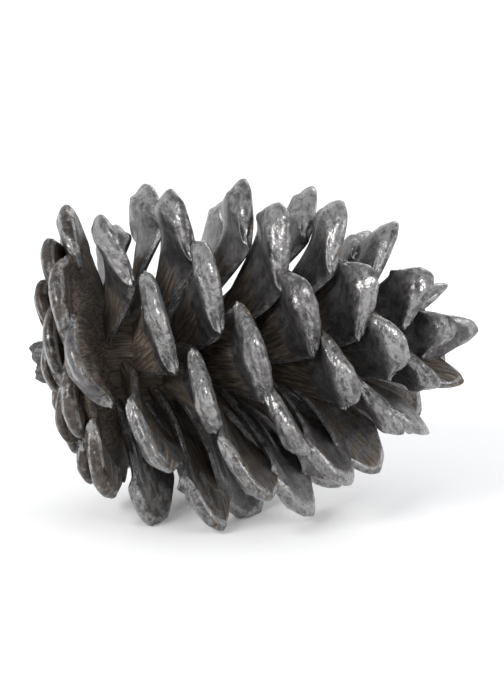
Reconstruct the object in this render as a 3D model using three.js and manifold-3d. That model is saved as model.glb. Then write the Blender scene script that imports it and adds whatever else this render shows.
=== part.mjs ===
// An open pine cone lying on its side, its scales sprayed with pewter paint. Millimetres, +Z up.
// The cone grew as one piece, so it is one solid: a tapered core with a short stalk, a closed rosette of
// scales round the stalk, and open woody scales that climb the core in a spiral to the tip.
// Two frames are used. In the cone's own frame +Z runs up the axis from the stalk to the tip, and each
// scale is worked out there. The finished cone is then laid down, tip towards +X, on three scale ends.
import * as THREE from "three";
import { mergeVertices } from "three/addons/utils/BufferGeometryUtils.js";
import Module from "manifold-3d";

// The outline over the scale ends, in the cone's own frame.
const CONE_LENGTH = 54; // from the base to the tip
const MAX_RADIUS = 23; // where the cone is widest
const WIDEST_HEIGHT = 19; // how far up the axis that is
const TIP_POINTEDNESS = 0.58; // 0.5 rounds the upper cone like an ellipse, and more makes it pointed
const RIM_RADIUS = 21.5; // over the ends of the lowest open scales
const RIM_HEIGHT = 7.5; // of those ends, above the base
const TIP_GAP = 0.4; // from the last scale end to the full length
const OBLIQUE = 0.12; // how much the base slopes across the axis
const OBLIQUE_AZIMUTH = 90; // the side, in degrees, on which the base reaches higher
const OBLIQUE_FADE = [8, 40]; // the heights between which that slope dies out

// The spiral. A pine cone turns close to 137.5 degrees from each scale to the next.
const DIVERGENCE = -137.25;
const RIM_AZIMUTH = 5; // of the first open scale, in degrees
const ROSETTE_SCALES = 24;
const OPEN_SCALES = 52;
const SPIRAL_CLIMB = 0.82; // under 1 the scales crowd towards the tip

// The core, with the stalk that the cone was picked by.
const CORE_RADIUS = 6;
const CORE_TOP = 38;
const CORE_SIDES = 12;
const STALK_RADIUS = 2.6;
const STALK_BELOW_BASE = 2.2;
const FLARE_RADIUS = 17.8; // the core spreads under the closed scales of the base
const FLARE_HEIGHT = 6.4;

// The open scales. A pair holds the value for the first and for the last of them.
const SCALE_WIDTH = 12.2;
const OPEN_ROOT_HEIGHT = [6, 36];
const OPEN_ROOT_RADIUS = [2.6, 0.8]; // well inside the core
const UPPER_NARROWING = 0.32; // share of the width that is lost up the upper half
const LAST_NARROWING = 0.25; // share that the last few scales lose besides
const LAST_FROM = 0.88; // where on the climb those begin
const UPPER_THINNING = 0.3; // share of the thickness that is lost up the upper half

// The closed scales of the base, from the stalk outwards.
const ROSETTE_END_RADIUS = [5, 20.9];
const ROSETTE_END_HEIGHT = [0.6, 6.7];
const ROSETTE_ROOT_HEIGHT = [2.2, 4.6];
const ROSETTE_ROOT_RADIUS = 1.6;
const ROSETTE_WIDTH = [6, 14.5];
const ROSETTE_GIRTH = [1, 1.4]; // times the thickness of an open scale
const ROSETTE_CUPPING_SHARE = 0.5; // they lie flatter,
const ROSETTE_BOSS_SHARE = 0.3; // swell less at the end,
const ROSETTE_TWIST_SHARE = 0.25; // are turned less,
const ROSETTE_RADIUS_SHARE = 0.3; // and differ less from each other in reach
const ROSETTE_HEIGHT_SHARE = 0.2; // and in height

// The form of one full-size scale. Shares are of its own length, from the root to the end.
const ROOT_WIDTH_SHARE = 0.44; // width of the root over the width of the blade
const FULL_WIDTH_AT = 0.84;
const BLADE_THICKNESS = 1.5;
const MARGIN_THICKNESS = 1.2;
const ROOT_THICKENING = 0.25;
const BOSS_HEIGHT = 1.3; // how far the swollen end stands out of the outer face
const BOSS_RISE = [0.64, 0.87]; // the shares between which it rises
const BOSS_SLOPE = 0.45; // share of its height that it loses towards the very end
const BOSS_SIDE_FALL = 0.4; // share that it loses towards the margins
const UMBO_HEIGHT = 0.3; // the small knob in the middle of the swollen end
const END_ROUNDING = 0.22; // how far the corners of the end are drawn back
const END_FROM = 0.6; // where that rounding starts
const BEVEL = 0.07; // how far the outer face stops short of the inner one
const LIP_FROM = 0.86; // where the bevel and the last taper start
const LIP_TAPER = 0.16;
const CUPPING = 1.1; // how far the margins curl towards the cone's tip
const BULGE = 0.035; // how far the blade bows towards the cone's tip
const TWIST = 20; // degrees that the scale's end is turned about the scale's own length
const TWIST_RISE = [0.1, 0.8];
const ROW_CROWDING = 0.7; // the rows of faces lie closer together towards the swollen end

// Small differences between the scales, drawn at random from a fixed seed.
const SEED = 216;
const AZIMUTH_JITTER = 3.5;
const HEIGHT_JITTER = 0.9;
const RADIUS_JITTER = 0.8;
const TWIST_JITTER = 9;
const WIDTH_JITTER = 0.07;

// How the cone lies: the roll about its axis and the dip of its tip that put three scale ends on the ground.
const ROLL = -103.4;
const TIP_DOWN = -4.35;
const FLAT_DEPTH = 0.35; // worn off those three ends

const radians = THREE.MathUtils.degToRad;
const smooth = THREE.MathUtils.smoothstep;
const mix = THREE.MathUtils.lerp;
const between = ([first, last], share) => mix(first, last, share);

// A plain linear congruential generator, giving numbers from -1 to 1.
let randomState = SEED;
function draw() {
  randomState = (randomState * 1664525 + 1013904223) % 4294967296;
  return (randomState / 4294967296) * 2 - 1;
}

// The radius of the cone over its scale ends, at a height up the axis.
function outlineRadius(height) {
  if (height < WIDEST_HEIGHT) {
    const below = (WIDEST_HEIGHT - height) / (WIDEST_HEIGHT - RIM_HEIGHT);
    return mix(MAX_RADIUS, RIM_RADIUS, below ** 2);
  }
  const above = (height - WIDEST_HEIGHT) / (CONE_LENGTH - WIDEST_HEIGHT);
  return MAX_RADIUS * Math.max(0, 1 - above ** 2) ** TIP_POINTEDNESS;
}

// How far the slope of the base raises a point, which dies out up the axis.
function obliqueLift(azimuth, radius, height) {
  const side = Math.cos(azimuth - radians(OBLIQUE_AZIMUTH));
  return OBLIQUE * side * radius * (1 - smooth(height, OBLIQUE_FADE[0], OBLIQUE_FADE[1]));
}

// Where one open scale is rooted and where it ends, and its size, from its place on the climb.
function openForm(climb, shift) {
  const height = mix(RIM_HEIGHT, CONE_LENGTH - TIP_GAP, climb ** SPIRAL_CLIMB);
  const upper = smooth(climb, 0.5, 1);
  const last = smooth(climb, LAST_FROM, 1);
  return {
    endHeight: height + shift.height,
    endRadius: outlineRadius(height) + shift.radius,
    rootHeight: between(OPEN_ROOT_HEIGHT, climb),
    rootRadius: between(OPEN_ROOT_RADIUS, climb),
    width: SCALE_WIDTH * (1 - UPPER_NARROWING * upper) * (1 - LAST_NARROWING * last) * shift.width,
    girth: 1 - UPPER_THINNING * upper,
    twist: shift.twist,
    bossShare: 1,
    cuppingShare: 1,
    columns: 4,
    rows: 4,
  };
}

// The same for one closed scale of the base.
function rosetteForm(climb, shift) {
  return {
    endHeight: between(ROSETTE_END_HEIGHT, climb ** 1.5) + ROSETTE_HEIGHT_SHARE * shift.height,
    endRadius: between(ROSETTE_END_RADIUS, climb ** 0.62) + ROSETTE_RADIUS_SHARE * shift.radius,
    rootHeight: between(ROSETTE_ROOT_HEIGHT, climb),
    rootRadius: ROSETTE_ROOT_RADIUS,
    width: between(ROSETTE_WIDTH, climb ** 0.7) * shift.width,
    girth: between(ROSETTE_GIRTH, climb),
    twist: shift.twist * ROSETTE_TWIST_SHARE,
    bossShare: ROSETTE_BOSS_SHARE,
    cuppingShare: ROSETTE_CUPPING_SHARE,
    columns: 3,
    rows: 3,
  };
}

// A scale from its number, counted along the spiral from the stalk.
function scaleForm(index) {
  const turn = DIVERGENCE * (index - ROSETTE_SCALES);
  const azimuth = radians(RIM_AZIMUTH + turn + AZIMUTH_JITTER * draw());
  const shift = {
    height: HEIGHT_JITTER * draw(),
    radius: RADIUS_JITTER * draw(),
    twist: radians(TWIST + TWIST_JITTER * draw()),
    width: 1 + WIDTH_JITTER * draw(),
  };
  const form =
    index < ROSETTE_SCALES
      ? rosetteForm((index + 1) / (ROSETTE_SCALES + 1), shift)
      : openForm((index - ROSETTE_SCALES) / (OPEN_SCALES - 1), shift);
  form.endHeight += obliqueLift(azimuth, form.endRadius, form.endHeight);
  form.azimuth = azimuth;
  return form;
}

// A point of a scale. Across runs from -1 to 1 over its width, along from 0 at the root to 1 at the end,
// and face is 1 on the outer face, which is turned to the cone's base, and -1 on the inner face.
function scalePoint(form, across, along, face) {
  const reach = new THREE.Vector2(
    form.endRadius - form.rootRadius,
    form.endHeight - form.rootHeight,
  );
  const length = reach.length();
  const run = reach.clone().normalize();
  const outward = new THREE.Vector2(run.y, -run.x); // square to the blade, towards the base
  const margin = Math.abs(across);
  const lip = smooth(along, LIP_FROM, 1);

  const widening = smooth(along, -0.1, FULL_WIDTH_AT);
  const halfWidth = (form.width / 2) * mix(ROOT_WIDTH_SHARE, 1, widening) * (1 - LIP_TAPER * lip * margin);
  const thickness = mix(BLADE_THICKNESS, MARGIN_THICKNESS, margin);
  let height = (thickness / 2) * mix(1 + ROOT_THICKENING, 1, smooth(along, 0, 0.3));
  if (face > 0) {
    const rise = smooth(along, BOSS_RISE[0], BOSS_RISE[1]) * (1 - BOSS_SIDE_FALL * margin ** 1.6);
    const knob = Math.max(0, 1 - 3 * margin) * smooth(along, 0.78, 0.88) * (1 - smooth(along, 0.9, 1));
    const boss = BOSS_HEIGHT * rise * (1 - BOSS_SLOPE * smooth(along, 0.9, 1)) + UMBO_HEIGHT * knob;
    height += form.bossShare * boss;
  }
  const rounding = END_ROUNDING * length * smooth(along, END_FROM, 1) * margin ** 2.2;
  const bevel = face > 0 ? BEVEL * length * lip : 0;

  const x = across * halfWidth;
  const cupping = CUPPING * form.cuppingShare * margin ** 2 * smooth(along, 0, 0.7);
  const z = form.girth * (face * height - cupping);
  const turn = form.twist * smooth(along, TWIST_RISE[0], TWIST_RISE[1]);
  const sideways = x * Math.cos(turn) + z * Math.sin(turn);
  const lift = z * Math.cos(turn) - x * Math.sin(turn);

  const travelled = along * length - rounding - bevel;
  const bow = -4 * BULGE * length * along * (1 - along);
  const radius = form.rootRadius + run.x * travelled + outward.x * (lift + bow);
  const up = form.rootHeight + run.y * travelled + outward.y * (lift + bow);
  const cos = Math.cos(form.azimuth);
  const sin = Math.sin(form.azimuth);
  return new THREE.Vector3(radius * cos - sideways * sin, radius * sin + sideways * cos, up);
}

// One scale as a closed mesh: a box with a few columns and rows of faces, shaped by scalePoint.
function scaleGeometry(form) {
  const box = new THREE.BoxGeometry(2, 1, 2, form.columns, form.rows, 1);
  const position = box.getAttribute("position");
  for (let i = 0; i < position.count; i++) {
    const row = position.getY(i) + 0.5;
    const along = row + ROW_CROWDING * row * row * (1 - row);
    const point = scalePoint(form, position.getX(i), along, position.getZ(i));
    position.setXYZ(i, point.x, point.y, point.z);
  }
  return box;
}

// The core and the stalk, turned about the axis.
function coreGeometry() {
  const profile = [
    [0, -STALK_BELOW_BASE],
    [STALK_RADIUS * 0.85, -STALK_BELOW_BASE],
    [STALK_RADIUS, -STALK_BELOW_BASE * 0.6],
    [STALK_RADIUS, 1],
    [FLARE_RADIUS, FLARE_HEIGHT],
    [CORE_RADIUS, FLARE_HEIGHT + 2],
    [CORE_RADIUS * 0.95, 16],
    [CORE_RADIUS * 0.72, 32],
    [CORE_RADIUS * 0.3, CORE_TOP],
    [0, CORE_TOP + 1],
  ];
  const points = profile.map(([radius, height]) => new THREE.Vector2(radius, height));
  const core = new THREE.LatheGeometry(points, CORE_SIDES).rotateX(Math.PI / 2);
  const position = core.getAttribute("position");
  for (let i = 0; i < position.count; i++) {
    const x = position.getX(i);
    const y = position.getY(i);
    const up = position.getZ(i);
    position.setZ(i, up + obliqueLift(Math.atan2(y, x), Math.hypot(x, y), up));
  }
  return core;
}

// Laying the cone down: a roll about its axis, then the axis turned from +Z to +X with the tip dipped.
function layingMatrix() {
  const roll = new THREE.Matrix4().makeRotationZ(radians(ROLL));
  const down = new THREE.Matrix4().makeRotationY(radians(90 + TIP_DOWN));
  return down.multiply(roll);
}

const wasm = await Module();
wasm.setup();

// A closed three.js geometry as a manifold-3d solid.
function solidOf(geometry) {
  const bare = geometry.index ? geometry.toNonIndexed() : geometry.clone();
  bare.deleteAttribute("normal");
  bare.deleteAttribute("uv");
  const merged = mergeVertices(bare, 1e-4);
  const mesh = new wasm.Mesh({
    numProp: 3,
    vertProperties: new Float32Array(merged.getAttribute("position").array),
    triVerts: new Uint32Array(merged.index.array),
  });
  return new wasm.Manifold(mesh);
}

// A manifold-3d solid as a three.js geometry.
function geometryOf(solid) {
  const mesh = solid.getMesh();
  const geometry = new THREE.BufferGeometry();
  geometry.setAttribute("position", new THREE.BufferAttribute(mesh.vertProperties, 3));
  geometry.setIndex(new THREE.BufferAttribute(mesh.triVerts, 1));
  geometry.computeVertexNormals();
  return geometry;
}

// The whole cone, laid down, with its lowest ends worn flat and the origin under its middle.
function coneGeometry() {
  const laying = layingMatrix();
  let solid = solidOf(coreGeometry().applyMatrix4(laying));
  for (let index = 0; index < ROSETTE_SCALES + OPEN_SCALES; index++) {
    const scale = scaleGeometry(scaleForm(index)).applyMatrix4(laying);
    solid = solid.add(solidOf(scale));
  }
  const laid = geometryOf(solid);
  laid.computeBoundingBox();
  const centre = laid.boundingBox.getCenter(new THREE.Vector3());
  const floorHeight = laid.boundingBox.min.z + FLAT_DEPTH;
  const span = 4 * CONE_LENGTH;
  const below = new THREE.BoxGeometry(span, span, span).translate(0, 0, floorHeight - span / 2);
  const worn = geometryOf(solid.subtract(solidOf(below)));
  return worn.translate(-centre.x, -centre.y, -floorHeight);
}

const pewterPaint = new THREE.MeshStandardMaterial({
  color: 0x5b5855,
  roughness: 0.42,
  metalness: 0.55,
});

const cone = new THREE.Mesh(coneGeometry(), pewterPaint);
cone.name = "cone";

const part = new THREE.Group();
part.add(cone);

export default part;
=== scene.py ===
"""The surface of an open pine cone sprayed with pewter paint, lying on a pale floor.

Lengths below are millimetres, as a cone is measured, and MM turns them into Blender's metres. The scales
are worked out in the cone's own frame, where +Z runs up the axis from the stalk to the tip, by the same
rule and the same random draws as the solid they stand for. Then the cone is laid down as that solid lies.
"""
import math
from types import SimpleNamespace

import bmesh
import bpy
import numpy as np
from mathutils import Matrix, Vector


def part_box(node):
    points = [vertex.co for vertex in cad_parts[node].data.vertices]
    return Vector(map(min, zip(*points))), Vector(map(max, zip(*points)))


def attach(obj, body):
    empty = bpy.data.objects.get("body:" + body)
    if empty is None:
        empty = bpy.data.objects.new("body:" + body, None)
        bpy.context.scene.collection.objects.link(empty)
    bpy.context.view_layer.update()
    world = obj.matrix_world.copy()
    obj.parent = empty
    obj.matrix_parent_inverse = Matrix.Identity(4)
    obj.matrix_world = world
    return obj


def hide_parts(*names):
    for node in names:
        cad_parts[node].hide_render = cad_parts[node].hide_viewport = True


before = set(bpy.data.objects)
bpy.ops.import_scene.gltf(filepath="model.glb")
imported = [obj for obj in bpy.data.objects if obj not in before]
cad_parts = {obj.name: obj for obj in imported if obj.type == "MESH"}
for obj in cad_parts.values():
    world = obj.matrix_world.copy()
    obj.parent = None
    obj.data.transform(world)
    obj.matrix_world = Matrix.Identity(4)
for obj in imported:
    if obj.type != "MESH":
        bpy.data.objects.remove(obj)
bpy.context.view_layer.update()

MM = 0.001

# The outline over the scale ends, in the cone's own frame.
CONE_LENGTH = 54
MAX_RADIUS = 23
WIDEST_HEIGHT = 19
TIP_POINTEDNESS = 0.58
RIM_RADIUS = 21.5
RIM_HEIGHT = 7.5
TIP_GAP = 0.4
OBLIQUE = 0.12
OBLIQUE_AZIMUTH = 90
OBLIQUE_FADE = (8, 40)

# The spiral.
DIVERGENCE = -137.25
RIM_AZIMUTH = 5
ROSETTE_SCALES = 24
OPEN_SCALES = 52
SPIRAL_CLIMB = 0.82

# The core and the stalk.
CORE_RADIUS = 6
CORE_TOP = 38
STALK_RADIUS = 2.6
STALK_BELOW_BASE = 2.2
FLARE_RADIUS = 17.8
FLARE_HEIGHT = 6.4

# The open scales. A pair holds the value for the first and for the last of them.
SCALE_WIDTH = 12.2
OPEN_ROOT_HEIGHT = (6, 36)
OPEN_ROOT_RADIUS = (2.6, 0.8)
UPPER_FROM = 0.5
UPPER_NARROWING = 0.32
LAST_NARROWING = 0.25
LAST_FROM = 0.88
UPPER_THINNING = 0.3

# The closed scales of the base, from the stalk outwards. A climb above 1 starts slowly, and one below 1 fast.
ROSETTE_END_RADIUS = (5, 20.9)
ROSETTE_RADIUS_CLIMB = 0.62
ROSETTE_END_HEIGHT = (0.6, 6.7)
ROSETTE_HEIGHT_CLIMB = 1.5
ROSETTE_ROOT_HEIGHT = (2.2, 4.6)
ROSETTE_ROOT_RADIUS = 1.6
ROSETTE_WIDTH = (6, 14.5)
ROSETTE_WIDTH_CLIMB = 0.7
ROSETTE_GIRTH = (1, 1.4)
ROSETTE_CUPPING_SHARE = 0.5
ROSETTE_BOSS_SHARE = 0.3
ROSETTE_TWIST_SHARE = 0.25
ROSETTE_RADIUS_SHARE = 0.3
ROSETTE_HEIGHT_SHARE = 0.2

# The form of one full-size scale. Places along it are shares of its length, from the root to the end, and
# sharpness is the power by which a form grows towards the margins. A band is where a form rises and falls.
ROOT_WIDTH_SHARE = 0.44
WIDENING_FROM = -0.1
FULL_WIDTH_AT = 0.84
BLADE_THICKNESS = 1.5
MARGIN_THICKNESS = 1.2
ROOT_THICKENING = 0.25
ROOT_THICK_TO = 0.3
BOSS_HEIGHT = 1.3
BOSS_RISE = (0.64, 0.87)
BOSS_SLOPE = 0.45
BOSS_SLOPE_FROM = 0.9
BOSS_SIDE_FALL = 0.4
BOSS_SIDE_SHARPNESS = 1.6
UMBO_HEIGHT = 0.3
UMBO_NARROWNESS = 3
UMBO_BAND = ((0.78, 0.88), (0.9, 1))
END_ROUNDING = 0.22
END_FROM = 0.6
END_SHARPNESS = 2.2
BEVEL = 0.07
LIP_FROM = 0.86
LIP_TAPER = 0.16
CUPPING = 1.1
FULL_CUPPING_AT = 0.7
BULGE = 0.035
TWIST = 20
TWIST_RISE = (0.1, 0.8)
ROW_CROWDING = 0.7

# Small differences between the scales.
SEED = 216
AZIMUTH_JITTER = 3.5
HEIGHT_JITTER = 0.9
RADIUS_JITTER = 0.8
TWIST_JITTER = 9
WIDTH_JITTER = 0.07

# How the cone lies.
ROLL = -103.4
TIP_DOWN = -4.35
FLAT_DEPTH = 0.35

# The solid's own faces, which are coarser than those made here.
SOLID_CORE_SIDES = 12
SOLID_OPEN_GRID = (4, 4)  # columns and rows of faces on a scale
SOLID_ROSETTE_GRID = (3, 3)
BOX_TOLERANCE = 0.05  # between the solid's box and the one worked out here

# Fine relief on a scale.
GRAIN_SEED = 77
GRAIN_STEP = 20  # from one scale's grain to the next, so that no two look alike
RIM_SHARE = 0.3  # thickness left at the very margin, over the thickness inside it
RIM_SHARPNESS = 9  # the higher, the later the margin begins to thin
END_SHARE = 0.78  # thickness left at the very end
END_THINS_FROM = 0.93
OUTERMOST = 0.999  # past it are only the faces that close the margins and the end
SIDE_BULGE = 0.3
END_BULGE = 0.8  # the end stands out between its two edges
END_BULGE_FALL = 0.7  # share of that which its corners do without
KEEL_HEIGHT = 0.1  # the cross ridge over the swollen end
KEEL_AT = 0.9
KEEL_BOW = 0.05
KEEL_HALF_WIDTH = 0.045
UMBO_RADIUS = 1.6  # the round knob on the keel
UMBO_STRETCH = 1.5  # its width over its length
UMBO_RISE = 0.2
PLAIN_UMBO_LOSS = 0.7  # share of the solid's angular knob that the round one takes the place of
RIB_HEIGHT = 0.28  # down the middle of the blade, on the outer face
RIB_HALF_WIDTH = 0.22
RIB_BAND = ((0.1, 0.3), (0.55, 0.72))
SEED_DENT_DEPTH = 0.32  # the two hollows that the seeds left in the inner face
SEED_DENT_SIDE = 0.42
SEED_DENT_HALF_WIDTH = 0.2
SEED_DENT_BAND = ((0.12, 0.3), (0.62, 0.74))
INNER_BEVEL = 0.03
INNER_BEVEL_FROM = 0.9
BEVEL_EASE = 0.75  # share of the outer bevel that is kept
CORNER_EASE = 0.6  # share of that which the corners of the end do without
DOME_FALL = 0.6  # share of the swelling that is lost towards the very end
DOME_FROM = 0.8

# Waves over a scale. Each has its rates along and across it, in radians, and its share.
EDGE_WAVE = 0.02
EDGE_WAVES = ((9, 2.1, 1), (23, -1.4, 0.5))
END_WAVE = 0.006
END_WAVES = ((0, 5, 1), (0, 12, 0.6))
BLADE_WAVE = 0.16
BLADE_RIPPLES = ((5.5, 2.6, 1),)
RIPPLE_RISE = (0.15, 0.4)
BLADE_FOLDS = ((6, 17, 0.35),)
FOLD_RISE = (0.7, 0.85)
ROSETTE_WAVINESS = 0.45

# Relief on the core and the stalk.
BARK_WAVES = ((9, 0.7, 0.12), (17, -1.3, 0.08))  # how many go round the axis, their rate up it, their height
BARK_RISE = (0.6, 2)
TORN_FROM = 0.5  # share of the stub, beyond which its torn end begins
TORN_WITHIN = 1.2  # times the stalk's radius
TORN_DEPTH = 0.3
TORN_DOME = 0.5
TORN_WAVES = ((3, 1, 0.25), (8, 0, 0.16))  # how many go round the axis, where they start, their height
FLARE_VISIBLE_RADIUS = 14.5  # beyond it the flare is drawn in behind the closed scales
FLARE_DRAWN_IN = 0.6

OPEN_GRID = (20, 26, 6)  # columns, rows and layers of faces on an open scale
ROSETTE_GRID = (16, 18, 4)
CORE_SIDES = 48
CORE_CUTS = 3

# The floor, in metres.
FLOOR_RADIUS = 2.4
FLOOR_SIDES = 96
BACKDROP_CURVE = 0.5
BACKDROP_STEPS = 8
BACKDROP_HEIGHT = 1.4

# The camera, at the photograph's angle.
VIEW_AZIMUTH = 5  # degrees from the cone's near side towards its tip
VIEW_ELEVATION = 12.8
LENS = 180
SENSOR = 36
FRAME_SIZE = (504, 700)
FRAME_WIDTH = 1.12  # over the cone's length


def mix(first, second, share):
    return first + (second - first) * share


def between(pair, share):
    return mix(pair[0], pair[1], share)


def smooth(value, low, high):
    share = np.clip((value - low) / (high - low), 0, 1)
    return share * share * (3 - 2 * share)


def band(along, rise, fall):
    """1 between the stretch over which a form rises and the one over which it falls."""
    return smooth(along, *rise) * (1 - smooth(along, *fall))


def bell(offset, half_width):
    """1 in the middle of a soft ridge or hollow, and near 0 from twice its half width on."""
    return np.exp(-((offset / half_width) ** 2))


def waves(parts, along, across, phases):
    """Sine waves over a scale, added up."""
    total = 0
    for (rate_along, rate_across, share), phase in zip(parts, phases):
        total = total + share * np.sin(rate_along * along + rate_across * across + phase)
    return total


def steady_draws(seed):
    """Numbers from -1 to 1, the same ones in each run."""
    state = seed
    while True:
        state = (state * 1664525 + 1013904223) % 4294967296
        yield state / 4294967296 * 2 - 1


def outline_radius(height):
    """The radius of the cone over its scale ends, at a height up the axis."""
    if height < WIDEST_HEIGHT:
        below = (WIDEST_HEIGHT - height) / (WIDEST_HEIGHT - RIM_HEIGHT)
        return mix(MAX_RADIUS, RIM_RADIUS, below**2)
    above = (height - WIDEST_HEIGHT) / (CONE_LENGTH - WIDEST_HEIGHT)
    return MAX_RADIUS * max(0, 1 - above**2) ** TIP_POINTEDNESS


def oblique_lift(azimuth, radius, height):
    """How far the slope of the base raises a point, which dies out up the axis."""
    side = np.cos(azimuth - math.radians(OBLIQUE_AZIMUTH))
    return OBLIQUE * side * radius * (1 - smooth(height, *OBLIQUE_FADE))


def open_form(climb, shift):
    """Where one open scale is rooted and where it ends, and its size, from its place on the climb."""
    height = mix(RIM_HEIGHT, CONE_LENGTH - TIP_GAP, climb**SPIRAL_CLIMB)
    upper = smooth(climb, UPPER_FROM, 1)
    last = smooth(climb, LAST_FROM, 1)
    return SimpleNamespace(
        end_height=height + shift.height,
        end_radius=outline_radius(height) + shift.radius,
        root_height=between(OPEN_ROOT_HEIGHT, climb),
        root_radius=between(OPEN_ROOT_RADIUS, climb),
        width=SCALE_WIDTH * (1 - UPPER_NARROWING * upper) * (1 - LAST_NARROWING * last) * shift.width,
        girth=1 - UPPER_THINNING * upper,
        twist=shift.twist,
        boss_share=1,
        cupping_share=1,
        waviness=1,
        solid_grid=SOLID_OPEN_GRID,
    )


def rosette_form(climb, shift):
    """The same for one closed scale of the base."""
    end_height = between(ROSETTE_END_HEIGHT, climb**ROSETTE_HEIGHT_CLIMB)
    end_radius = between(ROSETTE_END_RADIUS, climb**ROSETTE_RADIUS_CLIMB)
    return SimpleNamespace(
        end_height=end_height + ROSETTE_HEIGHT_SHARE * shift.height,
        end_radius=end_radius + ROSETTE_RADIUS_SHARE * shift.radius,
        root_height=between(ROSETTE_ROOT_HEIGHT, climb),
        root_radius=ROSETTE_ROOT_RADIUS,
        width=between(ROSETTE_WIDTH, climb**ROSETTE_WIDTH_CLIMB) * shift.width,
        girth=between(ROSETTE_GIRTH, climb),
        twist=shift.twist * ROSETTE_TWIST_SHARE,
        boss_share=ROSETTE_BOSS_SHARE,
        cupping_share=ROSETTE_CUPPING_SHARE,
        waviness=ROSETTE_WAVINESS,
        solid_grid=SOLID_ROSETTE_GRID,
    )


def scale_forms():
    """Every scale, in the order in which the spiral sets them from the stalk."""
    draws = steady_draws(SEED)
    grain_draws = steady_draws(GRAIN_SEED)
    forms = []
    for index in range(ROSETTE_SCALES + OPEN_SCALES):
        turn = DIVERGENCE * (index - ROSETTE_SCALES)
        azimuth = math.radians(RIM_AZIMUTH + turn + AZIMUTH_JITTER * next(draws))
        shift = SimpleNamespace(height=HEIGHT_JITTER * next(draws), radius=RADIUS_JITTER * next(draws))
        shift.twist = math.radians(TWIST + TWIST_JITTER * next(draws))
        shift.width = 1 + WIDTH_JITTER * next(draws)
        if index < ROSETTE_SCALES:
            form = rosette_form((index + 1) / (ROSETTE_SCALES + 1), shift)
        else:
            form = open_form((index - ROSETTE_SCALES) / (OPEN_SCALES - 1), shift)
        form.end_height += oblique_lift(azimuth, form.end_radius, form.end_height)
        form.azimuth = azimuth
        form.index = index
        form.phases = [math.pi * next(grain_draws) for _ in range(6)]
        form.tone = next(grain_draws)
        forms.append(form)
    return forms


def face_heights(form, across, along, half_width, length, relief):
    """How far the outer and the inner face of a scale stand from the middle of its blade."""
    margin = np.abs(across)
    thickness = mix(BLADE_THICKNESS, MARGIN_THICKNESS, margin)
    plain = thickness / 2 * mix(1 + ROOT_THICKENING, 1, smooth(along, 0, ROOT_THICK_TO))
    rise = smooth(along, *BOSS_RISE) * (1 - BOSS_SIDE_FALL * margin**BOSS_SIDE_SHARPNESS)
    slope_from = mix(BOSS_SLOPE_FROM, DOME_FROM, relief)
    slope = mix(BOSS_SLOPE, DOME_FALL, relief) * smooth(along, slope_from, 1)
    knob = np.maximum(0, 1 - UMBO_NARROWNESS * margin) * band(along, *UMBO_BAND)
    boss = BOSS_HEIGHT * rise * (1 - slope) + UMBO_HEIGHT * knob * (1 - PLAIN_UMBO_LOSS * relief)

    keel = bell(along - KEEL_AT - KEEL_BOW * margin**2, KEEL_HALF_WIDTH) * (1 - margin**3)
    umbo_off = np.hypot(across * half_width / UMBO_STRETCH, (along - KEEL_AT) * length) / UMBO_RADIUS
    umbo = smooth(1 - umbo_off, 0, 1)
    rib = bell(across, RIB_HALF_WIDTH) * band(along, *RIB_BAND)
    dent = bell(margin - SEED_DENT_SIDE, SEED_DENT_HALF_WIDTH) * band(along, *SEED_DENT_BAND)
    ridges = form.boss_share * (KEEL_HEIGHT * keel + UMBO_RISE * umbo) + RIB_HEIGHT * rib
    outer_height = plain + form.boss_share * boss + relief * ridges
    inner_height = relief * SEED_DENT_DEPTH * dent - plain
    return outer_height, inner_height


def rim_share(margin, along, relief):
    """The share of the thickness that is left where a scale thins towards its margins and its end."""
    side = mix(RIM_SHARE, 1, np.sqrt(1 - margin**RIM_SHARPNESS))
    close = np.clip((along - END_THINS_FROM) / (1 - END_THINS_FROM), 0, 1)
    end = mix(END_SHARE, 1, np.sqrt(1 - close**2))
    return mix(1, side, relief) * mix(1, end, relief)


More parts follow.
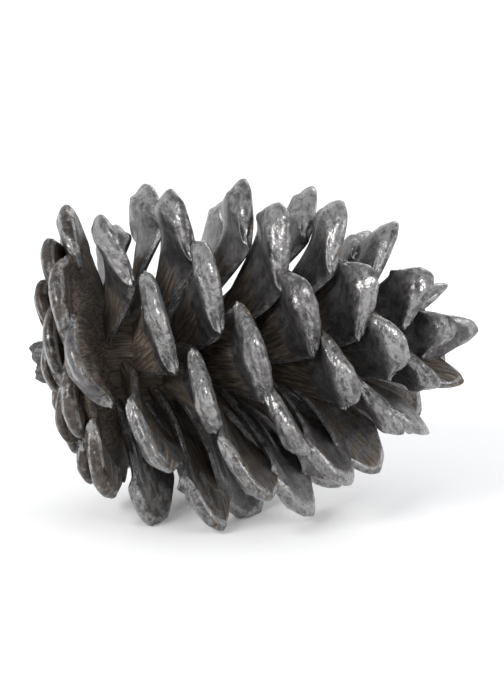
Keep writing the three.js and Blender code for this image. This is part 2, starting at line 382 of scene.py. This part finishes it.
def scale_points(form, across, along, face, relief):
    """Points of a scale, and their places in its own flat grain.

    Across runs from -1 to 1 over its width, along from 0 at the root to 1 at the end, and face is 1 on the
    outer face, which is turned to the cone's base, and -1 on the inner one. Relief is 0 for the plain form
    of the solid and 1 for the full surface.
    """
    reach = Vector((form.end_radius - form.root_radius, form.end_height - form.root_height))
    length = reach.length
    run = reach / length
    outward = Vector((run.y, -run.x))
    margin = np.abs(across)
    outer = (face + 1) / 2
    lip = smooth(along, LIP_FROM, 1)
    uneven = relief * form.waviness
    belly = relief * (1 - face**2)

    widening = smooth(along, WIDENING_FROM, FULL_WIDTH_AT)
    half_width = form.width / 2 * mix(ROOT_WIDTH_SHARE, 1, widening) * (1 - LIP_TAPER * lip * margin)
    half_width = half_width * (1 + uneven * EDGE_WAVE * waves(EDGE_WAVES, along, across, form.phases[:2]))
    outer_height, inner_height = face_heights(form, across, along, half_width, length, relief)
    half_thickness = (outer_height - inner_height) / 2 * rim_share(margin, along, relief)
    height = (outer_height + inner_height) / 2 + face * half_thickness
    ripples = waves(BLADE_RIPPLES, along, across, form.phases[2:3]) * smooth(along, *RIPPLE_RISE) * (1 - lip)
    folds = waves(BLADE_FOLDS, along, across, form.phases[3:4]) * smooth(along, *FOLD_RISE) * (1 - margin)
    sway = uneven * BLADE_WAVE * (ripples + folds)

    x = across * half_width + np.sign(across) * SIDE_BULGE * belly * (margin > OUTERMOST)
    cupping = CUPPING * form.cupping_share * margin**2 * smooth(along, 0, FULL_CUPPING_AT)
    z = form.girth * (height + sway - cupping)
    turn = form.twist * smooth(along, *TWIST_RISE)
    sideways = x * np.cos(turn) + z * np.sin(turn)
    lift = z * np.cos(turn) - x * np.sin(turn)

    rounding = END_ROUNDING * length * smooth(along, END_FROM, 1) * margin**END_SHARPNESS
    corner = mix(1, BEVEL_EASE * (1 - CORNER_EASE * margin**2), relief)
    outer_bevel = outer * BEVEL * length * lip * corner
    inner_bevel = relief * (1 - outer) * INNER_BEVEL * length * smooth(along, INNER_BEVEL_FROM, 1)
    end_wave = uneven * END_WAVE * length * lip * waves(END_WAVES, along, across, form.phases[4:])
    end_bulge = END_BULGE * belly * (along > OUTERMOST) * (1 - END_BULGE_FALL * margin**2)
    travelled = along * length - rounding - outer_bevel - inner_bevel + end_wave + end_bulge
    bow = -4 * BULGE * length * along * (1 - along)
    radius = form.root_radius + run.x * travelled + outward.x * (lift + bow)
    up = form.root_height + run.y * travelled + outward.y * (lift + bow)
    cos, sin = math.cos(form.azimuth), math.sin(form.azimuth)
    points = np.stack([radius * cos - sideways * sin, radius * sin + sideways * cos, up], axis=-1)
    grain = np.stack([x, travelled, height + GRAIN_STEP * form.index], axis=-1)
    return points, grain


# Laying the cone down.
TURN = Matrix.Rotation(math.radians(90 + TIP_DOWN), 3, "Y") @ Matrix.Rotation(math.radians(ROLL), 3, "Z")


def core_profile():
    """Radius and height up the axis, from the middle of the stalk's cut to the top of the core."""
    return [
        (0, -STALK_BELOW_BASE),
        (STALK_RADIUS * 0.85, -STALK_BELOW_BASE),
        (STALK_RADIUS, -STALK_BELOW_BASE * 0.6),
        (STALK_RADIUS, 1),
        (FLARE_RADIUS, FLARE_HEIGHT),
        (CORE_RADIUS, FLARE_HEIGHT + 2),
        (CORE_RADIUS * 0.95, 16),
        (CORE_RADIUS * 0.72, 32),
        (CORE_RADIUS * 0.3, CORE_TOP),
        (0, CORE_TOP + 1),
    ]


def solid_shift(forms):
    """How far the solid was moved after it was laid down: its box centred, and its lowest ends worn flat."""
    parts = []
    turns = math.tau * np.arange(SOLID_CORE_SIDES) / SOLID_CORE_SIDES
    for radius, height in core_profile():
        up = height + oblique_lift(turns, radius, height)
        parts.append(np.stack([radius * np.cos(turns), radius * np.sin(turns), up], axis=-1))
    for form in forms:
        columns, rows = form.solid_grid
        across, row, face = np.meshgrid(np.linspace(-1, 1, columns + 1), np.linspace(0, 1, rows + 1), (-1, 1))
        across, row, face = across.ravel(), row.ravel(), face.ravel()
        along = row + ROW_CROWDING * row * row * (1 - row)
        parts.append(scale_points(form, across, along, face, 0)[0])
    laid = np.concatenate(parts) @ np.array(TURN).T
    low, high = laid.min(axis=0), laid.max(axis=0)
    cad_low, cad_high = (np.array(corner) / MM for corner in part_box("cone"))
    off = np.abs((high - low)[:2] - (cad_high - cad_low)[:2]).max()
    if off > BOX_TOLERANCE:
        raise ValueError(f"the solid's box differs by {off:.3f} mm from the one that these sizes give")
    middle = (low + high) / 2
    return np.array([-middle[0], -middle[1], -low[2] - FLAT_DEPTH])


def lay_down(points, shift):
    """Points in the cone's own frame, as they lie on the floor, with what is below it worn off."""
    laid = points @ np.array(TURN).T + shift
    laid[:, 2] = np.maximum(laid[:, 2], 0)
    return laid * MM


def blank_scale(columns, rows, layers):
    """A cube from -1 to 1, its faces cut into a grid."""
    blank = bmesh.new()
    bmesh.ops.create_cube(blank, size=2)
    for axis, pieces in enumerate((columns, rows, layers)):
        lengthwise = [e for e in blank.edges if abs(e.verts[0].co[axis] - e.verts[1].co[axis]) > 1e-6]
        bmesh.ops.subdivide_edges(blank, edges=lengthwise, cuts=pieces - 1, use_grid_fill=True)
    mesh = bpy.data.meshes.new("blank_scale")
    blank.to_mesh(mesh)
    blank.free()
    return mesh


def store(mesh, name, values):
    """Puts values on the mesh's points, one number or one vector each."""
    kind, field = ("FLOAT", "value") if values.ndim == 1 else ("FLOAT_VECTOR", "vector")
    attribute = mesh.attributes.new(name, kind, "POINT")
    attribute.data.foreach_set(field, values.astype(np.float32).ravel())


def finish_piece(name, mesh, material):
    """Links a piece, smooth-shaded, standing for the cone's solid."""
    mesh.shade_smooth()
    mesh.materials.append(material)
    piece = bpy.data.objects.new(name, mesh)
    bpy.context.scene.collection.objects.link(piece)
    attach(piece, "root")
    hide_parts("cone")


def build_scales(name, forms, grid, shift, material):
    """The fine scales of some forms, as one piece."""
    blank = blank_scale(*grid)
    corners = np.zeros(len(blank.vertices) * 3)
    blank.vertices.foreach_get("co", corners)
    u, v, face = corners.reshape(-1, 3).T
    across = u * (1.5 - 0.5 * u * u)  # columns crowd towards the margins
    row = (v + 1) / 2
    along = row + ROW_CROWDING * row * row * (1 - row)
    scales = bmesh.new()
    places, grains, tones, points = [], [], [], []
    for form in forms:
        scales.from_mesh(blank)
        shaped, grain = scale_points(form, across, along, face, 1)
        points.append(lay_down(shaped, shift))
        grains.append(grain)
        places.append(np.stack([along, np.abs(across), (face + 1) / 2], axis=-1))
        tones.append(np.full(len(along), form.tone))
    mesh = bpy.data.meshes.new(name)
    scales.to_mesh(mesh)
    scales.free()
    bpy.data.meshes.remove(blank)
    mesh.vertices.foreach_set("co", np.concatenate(points).ravel())
    store(mesh, "grain", np.concatenate(grains))
    store(mesh, "place", np.concatenate(places))
    store(mesh, "tone", np.concatenate(tones))
    mesh.update()
    finish_piece(name, mesh, material)


def spun(outline, sides, merge_within):
    """An outline of radii and heights, spun all the way about the upright axis."""
    shape = bmesh.new()
    profile = [shape.verts.new((radius, 0, height)) for radius, height in outline]
    edges = [shape.edges.new(pair) for pair in zip(profile, profile[1:])]
    bmesh.ops.spin(
        shape,
        geom=profile + edges,
        cent=(0, 0, 0),
        axis=(0, 0, 1),
        angle=math.tau,
        steps=sides,
        use_merge=True,
    )
    bmesh.ops.remove_doubles(shape, verts=shape.verts, dist=merge_within)
    return shape


def build_core(shift, material):
    """The core and the stalk, spun about the axis."""
    core = spun(core_profile(), CORE_SIDES, 1e-4)
    bmesh.ops.subdivide_edges(core, edges=core.edges, cuts=CORE_CUTS, use_grid_fill=True)
    bmesh.ops.recalc_face_normals(core, faces=core.faces)
    own = np.array([v.co for v in core.verts])
    azimuth = np.arctan2(own[:, 1], own[:, 0])
    radius = np.hypot(own[:, 0], own[:, 1])
    bark = sum(rise * np.sin(count * azimuth + rate * own[:, 2]) for count, rate, rise in BARK_WAVES)
    drawn_in = np.maximum(0, radius - FLARE_VISIBLE_RADIUS) * FLARE_DRAWN_IN
    swell = 1 + (smooth(radius, *BARK_RISE) * bark - drawn_in) / np.maximum(radius, 1)
    own[:, 0] *= swell
    own[:, 1] *= swell
    at_cut = smooth(-own[:, 2] / STALK_BELOW_BASE, TORN_FROM, 1) * (radius < TORN_WITHIN * STALK_RADIUS)
    torn = TORN_DEPTH + TORN_DOME * (1 - (radius / STALK_RADIUS) ** 2)
    torn = torn + sum(rise * np.sin(count * azimuth + begun) for count, begun, rise in TORN_WAVES)
    own[:, 2] += at_cut * np.maximum(0, torn)
    own[:, 2] += oblique_lift(azimuth, radius, own[:, 2])
    mesh = bpy.data.meshes.new("core_and_stalk")
    core.to_mesh(mesh)
    core.free()
    mesh.vertices.foreach_set("co", lay_down(own, shift).ravel())
    store(mesh, "grain", np.stack([radius * azimuth, own[:, 2], radius], axis=-1))
    mesh.update()
    finish_piece("core_and_stalk", mesh, material)


def put(tree, kind, sockets=None, **settings):
    """A node whose sockets take a value, or a link from another node's output."""
    made = tree.nodes.new(kind)
    for name, value in settings.items():
        setattr(made, name, value)
    for name, value in (sockets or {}).items():
        if isinstance(value, bpy.types.NodeSocket):
            tree.links.new(value, made.inputs[name])
        else:
            made.inputs[name].default_value = value
    return made


def worked_out(tree, operation, *values, clamp=False):
    """The result of one step of arithmetic."""
    sockets = dict(enumerate(values))
    return put(tree, "ShaderNodeMath", sockets, operation=operation, use_clamp=clamp).outputs[0]


def clamped(tree, operation, *values):
    """The same, kept from 0 to 1."""
    return worked_out(tree, operation, *values, clamp=True)


def raised_by(tree, value, other, share):
    """The value plus a share of the other one, kept from 0 to 1."""
    return clamped(tree, "MULTIPLY_ADD", other, share, value)


def ramp(tree, value, low, high, start=0.0, end=1.0):
    """Value eased from start, at low, to end, at high."""
    sockets = {"Value": value, "From Min": low, "From Max": high, "To Min": start, "To Max": end}
    return put(tree, "ShaderNodeMapRange", sockets, interpolation_type="SMOOTHSTEP").outputs["Result"]


def blend_colors(tree, share, first, second):
    return put(tree, "ShaderNodeMix", {0: share, 6: first, 7: second}, data_type="RGBA").outputs[2]


def mix_values(tree, share, first, second):
    return put(tree, "ShaderNodeMix", {0: share, 2: first, 3: second}, data_type="FLOAT").outputs[0]


def noise(tree, vector, scale, detail=3.0, roughness=0.55, distortion=0.0):
    sockets = {
        "Vector": vector,
        "Scale": scale,
        "Detail": detail,
        "Roughness": roughness,
        "Distortion": distortion,
    }
    return put(tree, "ShaderNodeTexNoise", sockets).outputs["Fac"]


def stretched(tree, vector, factors):
    """The vector with each of its parts times a factor, so that a pattern is drawn out along the others."""
    return put(tree, "ShaderNodeVectorMath", {0: vector, 1: factors}, operation="MULTIPLY").outputs[0]


def new_group(name, inputs, outputs):
    """A shader node group, with its input and output nodes."""
    tree = bpy.data.node_groups.new(name, "ShaderNodeTree")
    for label, kind, value in inputs:
        socket = tree.interface.new_socket(label, in_out="INPUT", socket_type=kind)
        if value is not None:
            socket.default_value = value
    for label, kind in outputs:
        tree.interface.new_socket(label, in_out="OUTPUT", socket_type=kind)
    return tree, tree.nodes.new("NodeGroupInput").outputs, tree.nodes.new("NodeGroupOutput").inputs


def place_group(tree, group, sockets):
    return put(tree, "ShaderNodeGroup", sockets, node_tree=group).outputs


FLOAT, VECTOR, COLOR = "NodeSocketFloat", "NodeSocketVector", "NodeSocketColor"


def wood_fibre_group():
    """Fibres that run along the scale, as a colour and a height."""
    tree, given, out = new_group(
        "wood_fibre",
        [
            ("Grain", VECTOR, None),
            ("Tone", FLOAT, 0.0),
            ("Dark Wood", COLOR, (0.030, 0.024, 0.019, 1)),
            ("Light Wood", COLOR, (0.205, 0.162, 0.120, 1)),
        ],
        [("Color", COLOR), ("Height", FLOAT)],
    )
    drawn_out = stretched(tree, given["Grain"], (3.2, 0.28, 1.0))
    streaks = noise(tree, drawn_out, 1.0, 5.0, 0.62)
    hairs = noise(tree, stretched(tree, given["Grain"], (9.0, 0.6, 2.0)), 1.0, 3.0, 0.5)
    clouds = noise(tree, given["Grain"], 0.28, 2.0)
    cloudy = ramp(tree, clouds, 0.25, 0.7, 0.4, 1.0)
    streaky = clamped(tree, "MULTIPLY", ramp(tree, streaks, 0.36, 0.68), cloudy)
    toned = clamped(tree, "ADD", streaky, clamped(tree, "MULTIPLY", given["Tone"], 0.2))
    tree.links.new(blend_colors(tree, toned, given["Dark Wood"], given["Light Wood"]), out["Color"])
    tree.links.new(mix_values(tree, 0.45, streaks, hairs), out["Height"])
    return tree


def spray_paint_group():
    """Pewter paint from a can: where it took, its mottled colour, and its lumpy height."""
    tree, given, out = new_group(
        "spray_paint",
        [
            ("Grain", VECTOR, None),
            ("Cover", FLOAT, 0.8),
            ("Brightness", FLOAT, 0.5),
            ("Deep Paint", COLOR, (0.040, 0.038, 0.043, 1)),
            ("Mid Paint", COLOR, (0.135, 0.132, 0.131, 1)),
            ("Bright Paint", COLOR, (0.265, 0.26, 0.255, 1)),
        ],
        [("Color", COLOR), ("Mask", FLOAT), ("Bright", FLOAT), ("Height", FLOAT)],
    )
    # Paint took where a ragged pattern stands above a limit, which rises as the cover falls.
    patches = noise(tree, given["Grain"], 0.42, 4.0, 0.6, 0.4)
    edges = noise(tree, given["Grain"], 2.6, 3.0, 0.6)
    ragged = mix_values(tree, 0.35, patches, edges)
    bare = clamped(tree, "SUBTRACT", 1.02, given["Cover"])
    reach = worked_out(tree, "MULTIPLY_ADD", bare, 0.9, 0.04)
    over = worked_out(tree, "SUBTRACT", ragged, reach)
    tree.links.new(ramp(tree, over, -0.07, 0.09), out["Mask"])

    # Bright drops and runs lie over a duller body, and small pits break them. The brightness given sets how
    # many are bright, and on the scales' rims it holds a painted highlight.
    drops = noise(tree, given["Grain"], 1.0, 4.0, 0.6)
    streaks = noise(tree, stretched(tree, given["Grain"], (0.55, 2.4, 2.4)), 1.0, 4.0, 0.62)
    mottle = mix_values(tree, 0.35, drops, streaks)
    threshold = ramp(tree, given["Brightness"], 0.0, 1.0, 0.70, 0.36)
    lit = worked_out(tree, "SUBTRACT", mottle, threshold)
    bright = ramp(tree, lit, -0.08, 0.12)
    blotches = noise(tree, given["Grain"], 0.8, 3.0, 0.6)
    body = blend_colors(tree, ramp(tree, blotches, 0.32, 0.66), given["Deep Paint"], given["Mid Paint"])
    dusted = blend_colors(tree, bright, body, given["Bright Paint"])
    pits = ramp(tree, noise(tree, given["Grain"], 1.9, 4.0, 0.7), 0.33, 0.47, 0.8, 0.0)
    tree.links.new(blend_colors(tree, pits, dusted, given["Deep Paint"]), out["Color"])
    tree.links.new(bright, out["Bright"])
    lumps = noise(tree, given["Grain"], 0.9, 2.0, 0.5)
    tree.links.new(mix_values(tree, 0.3, lumps, mottle), out["Height"])
    return tree


def attribute(tree, name):
    return put(tree, "ShaderNodeAttribute", attribute_name=name, attribute_type="GEOMETRY").outputs


def new_material(name):
    material = bpy.data.materials.new(name)
    material.use_nodes = True
    tree = material.node_tree
    tree.nodes.clear()
    return material, tree


def give_surface(tree, sockets):
    """The material's shader, linked to its output."""
    shader = put(tree, "ShaderNodeBsdfPrincipled", sockets)
    put(tree, "ShaderNodeOutputMaterial", {"Surface": shader.outputs[0]})


def painted_scale_material(name, groups, look):
    """Woody scales under pewter paint, which took best on their ends, with a painted highlight along their
    rims.
    """
    material, tree = new_material(name)
    grain = attribute(tree, "grain")["Vector"]
    tone = attribute(tree, "tone")["Fac"]
    place = put(tree, "ShaderNodeSeparateXYZ", {0: attribute(tree, "place")["Vector"]}).outputs
    along, margin, outer = place

    # How far the paint reached, on the inner face and on the outer one.
    inner_cover = ramp(tree, along, *look.inner_reach, look.root_cover, look.inner_cover)
    outer_cover = ramp(tree, along, *look.outer_reach, look.root_cover, look.end_cover)
    cover = mix_values(tree, outer, inner_cover, outer_cover)

    # The rims, which caught more paint, here and there, and which the brightness below lightens as a painted
    # highlight.
    off_middle = worked_out(tree, "ABSOLUTE", worked_out(tree, "SUBTRACT", outer, 0.5))
    end_rim = clamped(tree, "MULTIPLY", ramp(tree, along, 0.96, 1.0), ramp(tree, off_middle, 0.36, 0.5))
    rim = clamped(tree, "MAXIMUM", ramp(tree, margin, 0.9, 1.0), end_rim)
    broken = ramp(tree, noise(tree, grain, 0.3, 3.0, 0.6), 0.36, 0.58, 0.12, 1.0)
    rim = clamped(tree, "MULTIPLY", rim, broken)
    cover = raised_by(tree, cover, tone, 0.12)
    cover = raised_by(tree, cover, rim, look.rim_cover)

    # How bright the paint is, which grows towards the end of a scale; on the rims a painted highlight
    # lightens it further.
    near_end = mix_values(tree, outer, ramp(tree, along, 0.88, 1.0), ramp(tree, along, 0.74, 0.9))
    shine = mix_values(tree, near_end, look.blade_brightness, look.end_brightness)
    shine = raised_by(tree, shine, rim, look.rim_brightness)
    shine = raised_by(tree, shine, tone, 0.16)
    sockets = {"Grain": grain, "Cover": cover, "Brightness": shine}
    paint = place_group(tree, groups.paint, {**sockets, "Deep Paint": look.deep, "Mid Paint": look.mid})

    wood = place_group(tree, groups.wood, {"Grain": grain, "Tone": tone})
    color = blend_colors(tree, paint["Mask"], wood["Color"], paint["Color"])
    roughness = mix_values(tree, paint["Mask"], 0.75, mix_values(tree, paint["Bright"], 0.4, 0.26))
    metallic = clamped(tree, "MULTIPLY", paint["Mask"], look.metal)
    relief = mix_values(tree, near_end, wood["Height"], paint["Height"])
    bump = put(tree, "ShaderNodeBump", {"Height": relief, "Strength": 0.9, "Distance": look.bump * MM})
    give_surface(
        tree,
        {
            "Base Color": color,
            "Roughness": roughness,
            "Metallic": metallic,
            "Specular IOR Level": 0.3,
            "Coat Weight": clamped(tree, "MULTIPLY", paint["Mask"], look.gloss),
            "Coat Roughness": 0.16,
            "Normal": bump.outputs[0],
        },
    )
    return material


def bark_material(name, groups):
    """The stalk's bark, which the paint reached, and the core, which it hardly did."""
    material, tree = new_material(name)
    grain = attribute(tree, "grain")["Vector"]
    height = put(tree, "ShaderNodeSeparateXYZ", {0: grain}).outputs[1]
    wood = place_group(tree, groups.wood, {"Grain": grain})
    cover = ramp(tree, height, 0.0, 2.0, 0.78, 0.35)
    brightness = ramp(tree, height, 0.0, 2.0, 0.5, 0.2)
    paint = place_group(tree, groups.paint, {"Grain": grain, "Cover": cover, "Brightness": brightness})
    color = blend_colors(tree, paint["Mask"], wood["Color"], paint["Color"])
    metallic = clamped(tree, "MULTIPLY", paint["Mask"], 0.5)
    roughness = mix_values(tree, paint["Mask"], 0.85, 0.5)
    bump = put(tree, "ShaderNodeBump", {"Height": wood["Height"], "Strength": 0.9, "Distance": 0.5 * MM})
    surface = {"Base Color": color, "Roughness": roughness, "Metallic": metallic, "Normal": bump.outputs[0]}
    give_surface(tree, surface)
    return material


def build_cone():
    groups = SimpleNamespace(wood=wood_fibre_group(), paint=spray_paint_group())
    open_look = SimpleNamespace(
        deep=(0.050, 0.047, 0.052, 1),
        mid=(0.142, 0.137, 0.133, 1),
        inner_reach=(0.1, 0.6),
        outer_reach=(0.4, 0.75),
        root_cover=0.3,
        inner_cover=0.55,
        end_cover=0.99,
        rim_cover=0.4,
        blade_brightness=0.18,
        end_brightness=0.58,
        # a painted highlight along the rims
        rim_brightness=0.6,
        metal=0.6,
        gloss=0.35,
        bump=0.45,
    )
    base_look = SimpleNamespace(
        deep=(0.030, 0.025, 0.022, 1),
        mid=(0.080, 0.066, 0.056, 1),
        inner_reach=(0.3, 0.9),
        outer_reach=(0.3, 0.9),
        root_cover=0.42,
        inner_cover=0.5,
        end_cover=0.76,
        rim_cover=0.3,
        blade_brightness=0.15,
        end_brightness=0.36,
        # a painted highlight along the rims
        rim_brightness=0.7,
        metal=0.45,
        gloss=0.15,
        bump=0.4,
    )
    forms = scale_forms()
    shift = solid_shift(forms)
    open_finish = painted_scale_material("pewter_open_scales", groups, open_look)
    base_finish = painted_scale_material("pewter_base_scales", groups, base_look)
    build_scales("open_scales", forms[ROSETTE_SCALES:], OPEN_GRID, shift, open_finish)
    build_scales("base_scales", forms[:ROSETTE_SCALES], ROSETTE_GRID, shift, base_finish)
    build_core(shift, bark_material("stalk_bark", groups))


def build_floor():
    """A round pale floor that curves up into a backdrop on every side."""
    outline = [(0.0, 0.0), (FLOOR_RADIUS - BACKDROP_CURVE, 0.0)]
    for step in range(1, BACKDROP_STEPS + 1):
        angle = math.radians(90) * step / BACKDROP_STEPS
        out = FLOOR_RADIUS - BACKDROP_CURVE + BACKDROP_CURVE * math.sin(angle)
        outline.append((out, BACKDROP_CURVE * (1 - math.cos(angle))))
    outline.append((FLOOR_RADIUS, BACKDROP_HEIGHT))
    floor = spun(outline, FLOOR_SIDES, 1e-5)
    mesh = bpy.data.meshes.new("floor")
    floor.to_mesh(mesh)
    floor.free()
    mesh.shade_smooth()
    material, tree = new_material("pale_floor")
    white = (0.92, 0.92, 0.92, 1)
    surface = {"Base Color": white, "Roughness": 0.9, "Emission Color": white, "Emission Strength": 0.12}
    give_surface(tree, surface)
    mesh.materials.append(material)
    piece = bpy.data.objects.new("floor", mesh)
    bpy.context.scene.collection.objects.link(piece)


def add_light(name, place, size, power, target):
    light = bpy.data.lights.new(name, "AREA")
    light.shape = "RECTANGLE"
    light.size, light.size_y = size
    light.energy = power
    lamp = bpy.data.objects.new(name, light)
    lamp.location = place
    lamp.rotation_euler = (Vector(target) - Vector(place)).to_track_quat("-Z", "Y").to_euler()
    bpy.context.scene.collection.objects.link(lamp)


def build_light():
    world = bpy.data.worlds.new("studio")
    world.use_nodes = True
    backdrop = world.node_tree.nodes["Background"]
    backdrop.inputs["Color"].default_value = (0.96, 0.97, 1.0, 1)
    backdrop.inputs["Strength"].default_value = 0.7
    bpy.context.scene.world = world
    middle = (0, 0, 0.02)
    add_light("key", (-0.55, -0.75, 0.6), (0.35, 0.35), 8, middle)
    add_light("fill", (0.8, -0.5, 0.35), (0.6, 0.6), 4, middle)
    add_light("back", (0.2, 0.8, 0.6), (0.6, 0.3), 2, middle)


def build_camera():
    """At the photograph's angle, a little to the tip's side and a little above."""
    azimuth, elevation = math.radians(VIEW_AZIMUTH), math.radians(VIEW_ELEVATION)
    low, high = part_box("cone")
    middle = (low + high) / 2
    seen_width = FRAME_WIDTH * (high.x - low.x)
    distance = seen_width * LENS / (SENSOR * FRAME_SIZE[0] / FRAME_SIZE[1])
    back = Vector(
        (
            math.sin(azimuth) * math.cos(elevation),
            -math.cos(azimuth) * math.cos(elevation),
            math.sin(elevation),
        )
    )
    data = bpy.data.cameras.new("camera")
    data.lens = LENS
    data.sensor_width = SENSOR
    data.clip_start, data.clip_end = 0.01, 20
    camera = bpy.data.objects.new("camera", data)
    camera.location = middle + back * distance
    camera.rotation_mode = "QUATERNION"
    camera.rotation_quaternion = (-back).to_track_quat("-Z", "Y")
    bpy.context.scene.collection.objects.link(camera)
    bpy.context.scene.camera = camera


build_camera()
build_floor()
build_light()
build_cone()
bpy.context.scene.view_settings.view_transform = "Standard"
